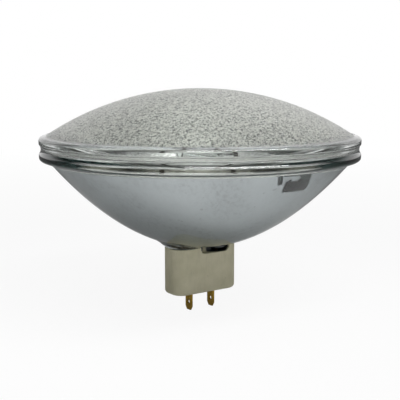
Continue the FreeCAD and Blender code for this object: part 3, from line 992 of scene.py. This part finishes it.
def pale_floor():
    """To the camera the floor is white, a shade darker near the lamp. To other rays it is a grey sheet with
    a painted pool of light, paler near the lamp, and glass and gloss see a little extra painted white there."""
    material, tree, shader, place = finish("pale_floor", Roughness=0.9)
    away = vector_node(tree, "DISTANCE", place, Vector((*lit_spot, floor_height)) * MM)
    # painted light: the floor's colour is paler in a pool near the lamp
    painted_pool = mapped(tree, away, painted_pool_start * MM, painted_pool_end * MM, 0.66, 0.2)
    feed(tree, shader, Base_Color=mixed(tree, painted_pool, (0, 0, 0), (1, 1, 1)))
    path = node(tree, "ShaderNodeLightPath").outputs
    shade = mapped(tree, away, shade_start * MM, shade_end * MM, 0.92, 1.0)
    seen = math_node(tree, "MULTIPLY", path["Is Camera Ray"], shade)
    # painted glow: extra white near the lamp, for glass and gloss only
    gloss = mapped(tree, away, gloss_start * MM, gloss_end * MM, 0.12, 0.0)
    mirrored = math_node(tree, "MAXIMUM", path["Is Glossy Ray"], path["Is Transmission Ray"])
    mirrored = math_node(tree, "MULTIPLY", mirrored, gloss)
    white = node(tree, "ShaderNodeEmission", {"Color": (1, 1, 1, 1), "Strength": 1.0}).outputs[0]
    share = math_node(tree, "ADD", seen, mirrored)
    blend = node(tree, "ShaderNodeMixShader", {0: share, 1: shader.outputs[0], 2: white}).outputs[0]
    tree.links.new(blend, tree.nodes["Material Output"].inputs["Surface"])
    return material


corner_signs = ((-1, -1), (1, -1), (1, 1), (-1, 1))
corners = [(x * floor_half_width, y * floor_half_width, floor_height) for x, y in corner_signs]
floor = mesh_object("floor", corners, [(0, 1, 2, 3)], smooth=False)
floor.data.materials.append(pale_floor())
print("floor at", round(floor_height, 1), "mm")

# %% The surround: a world whose light depends on the direction
# up, near and right say how far a direction points up, towards the camera and to the right, -1 to 1.
world = bpy.data.worlds.new("surround")
bpy.context.scene.world = world
world.use_nodes = True
sky = world.node_tree
direction = node(sky, "ShaderNodeTexCoord").outputs["Generated"]
up = node(sky, "ShaderNodeSeparateXYZ", {0: direction}).outputs["Z"]
near = vector_node(sky, "DOT_PRODUCT", direction, to_camera)
right = vector_node(sky, "DOT_PRODUCT", direction, to_right)


def edge(value, dark, bright):
    """Soft edge of a zone: 0 where the value is at dark, 1 where it is at bright, and straight in between."""
    return mapped(sky, value, dark, bright)


def zone(level, *edges):
    """Light of one zone: its level times all its edges."""
    for factor in edges:
        level = math_node(sky, "MULTIPLY", level, factor)
    return level


def total(first, *others):
    """Sum of all zones."""
    for other in others:
        first = math_node(sky, "ADD", first, other)
    return first


print("the world has", len(sky.nodes), "nodes before its zones")

# %% The surround's zones
# What glass and gloss see of the backdrop is a little brighter than the light it casts.
room_level = 0.015
backdrop_level = 0.7
backdrop_gloss = 0.3
overhead_level = 0.65
strip_level = 2.6
glow_level = 1.1
front_level = 0.52
right_level = 0.15
path = node(sky, "ShaderNodeLightPath").outputs
mirrored = math_node(sky, "MAXIMUM", path["Is Glossy Ray"], path["Is Transmission Ray"])
mirrored = math_node(sky, "MULTIPLY", mirrored, backdrop_gloss)
backdrop = zone(math_node(sky, "ADD", mirrored, backdrop_level), edge(near, -0.4, -0.65), edge(up, 0.9, 0.7))
overhead = zone(overhead_level, edge(up, 0.84, 0.93))
strip = zone(strip_level, edge(near, 0.05, 0.12), edge(near, 0.34, 0.26), edge(right, -0.25, -0.1),
             edge(right, 0.6, 0.45), edge(up, 0.8, 0.9))
glow = zone(glow_level, edge(near, -0.5, -0.62), edge(right, -0.02, 0.1), edge(right, 0.42, 0.3),
            edge(up, 0.46, 0.54), edge(up, 0.78, 0.7))
front = zone(front_level, edge(near, 0.42, 0.76), edge(up, 0.42, 0.28))
right_wall = zone(right_level, edge(right, 0.5, 0.8), edge(up, 0.75, 0.6))
light = total(room_level, backdrop, overhead, strip, glow, front, right_wall)
strength = node(sky, "ShaderNodeMix", {0: path["Is Camera Ray"], 2: light, 3: 1.0}).outputs[0]
sky.nodes["Background"].inputs["Color"].default_value = (1, 1, 1, 1)
sky.links.new(strength, sky.nodes["Background"].inputs["Strength"])
print("the world has", len(sky.nodes), "nodes")


# %% One soft box as the key light, long and narrow, above the camera and to its right
def soft_box(name, place, aim, width, depth, power):
    """An area lamp, its face turned from its place to its aim, both in millimetres."""
    data = bpy.data.lights.new(name, "AREA")
    data.shape = "RECTANGLE"
    data.size = width * MM
    data.size_y = depth * MM
    data.energy = power
    lamp = bpy.data.objects.new(name, data)
    lamp.location = place * MM
    lamp.rotation_euler = (aim - place).to_track_quat("-Z", "Y").to_euler()
    lamp.visible_camera = False
    bpy.context.scene.collection.objects.link(lamp)
    return lamp


key_place = to_right * 260 + to_camera * 420 + Vector((0, 0, 620))
key_aim = Vector((0, 0, -60))
key = soft_box("key_box", key_place, key_aim, width=900, depth=150, power=8.0)
print("key light at", [round(v, 2) for v in key.location], "m")

# %% [markdown]
# ## The camera
# A camera's place and lens can be worked out from a photograph when some real sizes are known. Here the
# rim's diameter is, and the outlines of the rim, the dome and the bowl settle the rest. The lens is told in
# pixels of the picture's width and turned into millimetres by the sensor's width.

# %% The camera, where the photograph was taken from
focal_length_pixels = 844.2
picture_width_pixels = 400
sensor_width = 36
camera_data = bpy.data.cameras.new("camera")
camera = bpy.data.objects.new("camera", camera_data)
bpy.context.scene.collection.objects.link(camera)
camera_data.lens = focal_length_pixels * sensor_width / picture_width_pixels
camera_data.clip_start = 0.01
camera_data.clip_end = 100
camera.location = (to_camera * camera_distance + Vector((0, 0, camera_height))) * MM
camera.rotation_euler = (math.pi / 2 - camera_dip, 0, -camera_turn)
bpy.context.scene.camera = camera
bpy.context.scene.view_settings.view_transform = "Standard"
print("lens in mm:", round(camera_data.lens, 1))
